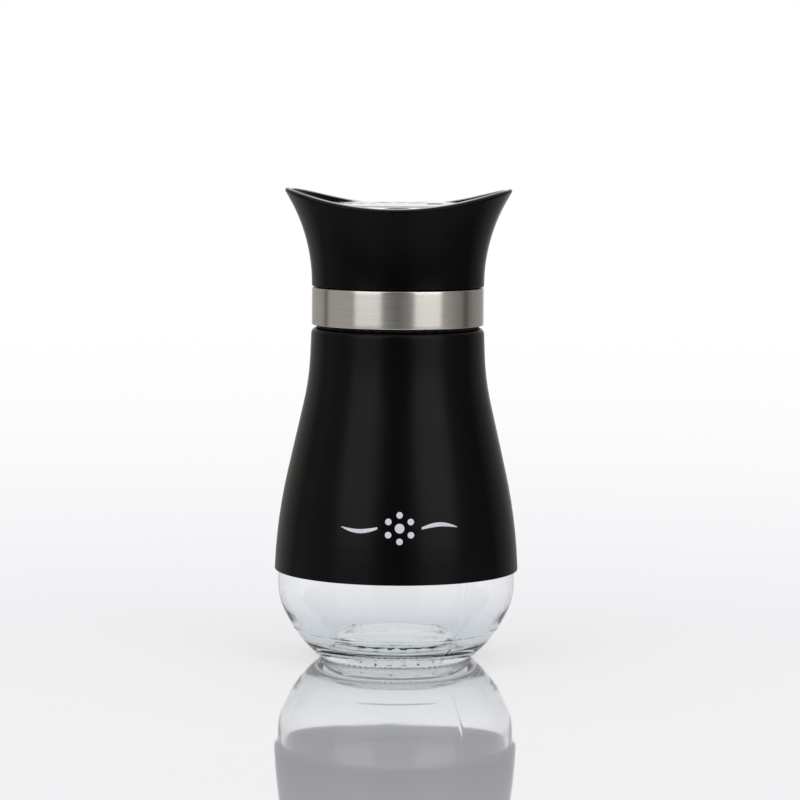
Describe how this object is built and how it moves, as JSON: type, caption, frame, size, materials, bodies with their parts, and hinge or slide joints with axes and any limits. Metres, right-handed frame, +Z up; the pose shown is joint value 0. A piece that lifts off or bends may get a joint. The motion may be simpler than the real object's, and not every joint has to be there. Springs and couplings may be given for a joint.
{
  "type": "spice shaker",
  "caption": "Glass table shaker with a black jacket, a screwed closure with a steel band, and a flared collar that turns a perforated plate.",
  "frame": {"origin": "centre of the ring on the jar's underside that the shaker stands on", "axes": "+Z up along the shaker's axis, +X towards one tip of the saddle-cut collar, -Y towards the front in the picture"},
  "size_m": [0.0656, 0.0656, 0.1263],
  "materials": {
    "clear_glass": "clear pressed glass, glossy",
    "black_enamel": "satin black enamel",
    "black_plastic": "satin moulded black",
    "brushed_stainless": "brushed round the ring",
    "polished_stainless": "polished",
    "spring_steel": "bright, as rolled",
    "grey_silicone": "matt silicone",
    "white_liner": "matt foamed liner"
  },
  "bodies": {
    "jar": {"glass_jar": "clear_glass", "body_sleeve": "black_enamel", "sleeve_cushion_ring": "grey_silicone", "sleeve_lock_ring": "black_plastic"},
    "seal": {"mouth_gasket": "white_liner"},
    "closure": {"threaded_base": "black_plastic", "grip_band": "brushed_stainless", "pour_turret": "black_plastic", "window_seal": "grey_silicone"},
    "dial": {"flared_collar": "black_plastic", "perforated_plate": "polished_stainless", "pivot_stud": "spring_steel", "spring_washer": "spring_steel", "retaining_washer": "spring_steel"}
  },
  "joints": [
    {"name": "closure_lift", "type": "slide", "parent": "jar", "child": "seal", "axis": [0, 0, 1], "range_m": [0, 0.0053]},
    {"name": "closure_turn", "type": "hinge", "parent": "seal", "child": "closure", "pos_m": [0, 0, 0.0982], "axis": [0, 0, 1], "range_deg": [0, 450]},
    {"name": "dial_turn", "type": "hinge", "parent": "closure", "child": "dial", "pos_m": [0, 0, 0.11], "axis": [0, 0, 1], "continuous": true}
  ],
  "couplings": [
    {"joint": "closure_lift", "follows": "closure_turn", "m_per_rad": 0.00067322}
  ]
}
